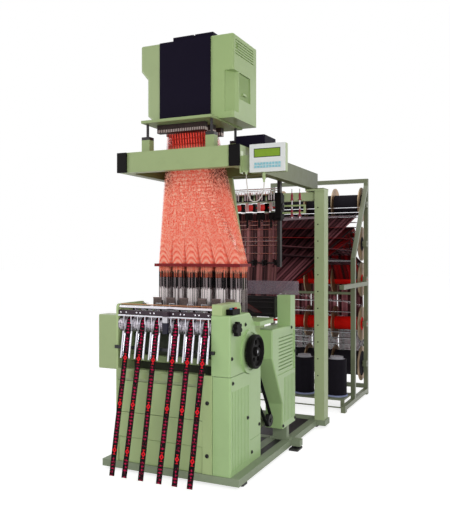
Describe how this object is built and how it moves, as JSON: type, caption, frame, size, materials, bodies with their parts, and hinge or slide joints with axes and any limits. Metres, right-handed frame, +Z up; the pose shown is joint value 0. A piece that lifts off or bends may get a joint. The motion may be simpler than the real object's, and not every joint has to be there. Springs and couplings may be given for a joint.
{
  "type": "power loom",
  "caption": "Power loom for narrow fabric: ribbons woven under a jacquard head on a gantry, with warp beams and yarn drums on a creel behind",
  "frame": {"origin": "on the floor, at the centre of the four anchor-bolt holes of the levelling feet", "axes": "+X to the right of a person facing the loom's front, +Y from the front to the creel, +Z up"},
  "size_m": [1.3045, 3.287, 2.842],
  "materials": {
    "green_paint": "satin sage-green enamel",
    "grey_paint": "satin grey-green enamel",
    "dark_paint": "satin blue-black enamel",
    "dark_steel": "dark oiled steel",
    "bright_steel": "ground steel",
    "chrome": "polished chrome",
    "black_plastic": "black moulded plastic",
    "blue_plastic": "blue push button",
    "red_plastic": "red push button",
    "grey_plastic": "pale grey panel",
    "clear_plastic": "clear sheet",
    "belt_rubber": "black belt rubber",
    "cable_jacket": "pale cable jacket",
    "ribbon_cloth": "woven ribbon, black with red",
    "orange_cord": "orange harness cord",
    "heddle_wire": "heddle wire and springs",
    "board_plastic": "drilled comber board",
    "red_yarn": "red warp yarn",
    "black_yarn": "black yarn"
  },
  "bodies": {
    "machine": {"base_frame": "green_paint", "base_tray": "dark_steel", "levelling_feet": "dark_steel", "loom_frame": "green_paint", "front_panels": "green_paint", "front_strip_cover": "green_paint", "front_sill": "green_paint", "right_upper_cover": "green_paint", "right_lower_cover": "green_paint", "side_panel": "green_paint", "drive_housing": "green_paint", "rear_deck": "green_paint", "left_control_box": "green_paint", "breast_bar": "dark_steel", "breast_rods": "chrome", "ribbon_guides": "bright_steel", "woven_ribbons": "ribbon_cloth", "drive_motor": "grey_paint", "drive_belt": "belt_rubber", "button_box": "black_plastic", "cover_screws": "dark_steel", "gantry_frame": "green_paint", "beam_end_caps": "black_plastic", "comber_boards": "board_plastic", "harness_cords": "orange_cord", "heddles": "heddle_wire", "head_plate": "dark_steel", "head_stand": "dark_steel", "head_core": "dark_paint", "head_left_cover": "green_paint", "head_right_cover": "green_paint", "panel_bracket": "green_paint", "panel_case": "grey_plastic", "panel_cable": "cable_jacket", "supply_box": "dark_paint", "guide_rods": "chrome", "tension_box": "dark_steel", "yarn_shield": "clear_plastic", "creel_frame": "grey_paint", "yarn_drums": "black_yarn", "warp_sheets": "red_yarn"},
    "main_drive": {"main_shaft": "bright_steel", "handwheel": "black_plastic"},
    "motor_rotor": {"motor_pulley": "dark_steel"},
    "take_up": {"take_up_roller": "dark_steel", "star_knob": "black_plastic"},
    "press": {"press_roller": "bright_steel"},
    "sley": {"reed_sley": "bright_steel"},
    "weft_carrier": {"weft_needle_carrier": "bright_steel"},
    "knitting_bar": {"knitting_needle_bar": "bright_steel"},
    "blue_button": {"button_blue": "blue_plastic"},
    "black_button": {"button_black": "black_plastic"},
    "red_button": {"button_red": "red_plastic"},
    "feed_roller_shaft": {"feed_rollers": "red_plastic"},
    "star_wheel_shaft": {"star_wheels": "dark_steel"},
    "beam_1": {"warp_beam_1": "black_yarn"},
    "beam_2": {"warp_beam_2": "red_yarn"},
    "beam_3": {"warp_beam_3": "red_yarn"},
    "beam_4": {"warp_beam_4": "black_yarn"},
    "beam_5": {"warp_beam_5": "black_yarn"}
  },
  "joints": [
    {"name": "main_shaft_turn", "type": "hinge", "parent": "machine", "child": "main_drive", "pos_m": [0, -0.56, 0.78], "axis": [1, 0, 0], "continuous": true},
    {"name": "motor_turn", "type": "hinge", "parent": "machine", "child": "motor_rotor", "pos_m": [0.35, -0.13, 0.24], "axis": [1, 0, 0], "continuous": true},
    {"name": "take_up_turn", "type": "hinge", "parent": "machine", "child": "take_up", "pos_m": [0, -0.805, 0.945], "axis": [1, 0, 0], "continuous": true},
    {"name": "press_turn", "type": "hinge", "parent": "machine", "child": "press", "pos_m": [0, -0.7406, 0.945], "axis": [1, 0, 0], "continuous": true},
    {"name": "sley_swing", "type": "hinge", "parent": "machine", "child": "sley", "pos_m": [0, -0.505, 0.56], "axis": [1, 0, 0], "range_deg": [-2, 5]},
    {"name": "weft_stroke", "type": "slide", "parent": "machine", "child": "weft_carrier", "axis": [1, 0, 0], "range_m": [0, 0.045]},
    {"name": "knit_stroke", "type": "slide", "parent": "machine", "child": "knitting_bar", "axis": [0, 1, 0], "range_m": [0, 0.014]},
    {"name": "blue_press", "type": "slide", "parent": "machine", "child": "blue_button", "axis": [0, 0, -1], "range_m": [0, 0.004], "stiffness_N_per_m": 200, "springref_m": -0.001},
    {"name": "black_press", "type": "slide", "parent": "machine", "child": "black_button", "axis": [0, 0, -1], "range_m": [0, 0.004], "stiffness_N_per_m": 200, "springref_m": -0.001},
    {"name": "red_press", "type": "slide", "parent": "machine", "child": "red_button", "axis": [0, 0, -1], "range_m": [0, 0.004], "stiffness_N_per_m": 200, "springref_m": -0.001},
    {"name": "feed_turn", "type": "hinge", "parent": "machine", "child": "feed_roller_shaft", "pos_m": [0, 0.15, 1.74], "axis": [1, 0, 0], "continuous": true},
    {"name": "star_turn", "type": "hinge", "parent": "machine", "child": "star_wheel_shaft", "pos_m": [0, 0.15, 1.33], "axis": [1, 0, 0], "continuous": true},
    {"name": "beam_1_turn", "type": "hinge", "parent": "machine", "child": "beam_1", "pos_m": [0, 2.1, 0.31], "axis": [1, 0, 0], "continuous": true},
    {"name": "beam_2_turn", "type": "hinge", "parent": "machine", "child": "beam_2", "pos_m": [0, 2.1, 0.705], "axis": [1, 0, 0], "continuous": true},
    {"name": "beam_3_turn", "type": "hinge", "parent": "machine", "child": "beam_3", "pos_m": [0, 2.1, 1.145], "axis": [1, 0, 0], "continuous": true},
    {"name": "beam_4_turn", "type": "hinge", "parent": "machine", "child": "beam_4", "pos_m": [0, 2.1, 1.5], "axis": [1, 0, 0], "continuous": true},
    {"name": "beam_5_turn", "type": "hinge", "parent": "machine", "child": "beam_5", "pos_m": [0, 2.1, 1.89], "axis": [1, 0, 0], "continuous": true}
  ],
  "couplings": [
    {"joint": "motor_turn", "follows": "main_shaft_turn", "ratio": 2.2107},
    {"joint": "press_turn", "follows": "take_up_turn", "ratio": -3.5714}
  ]
}
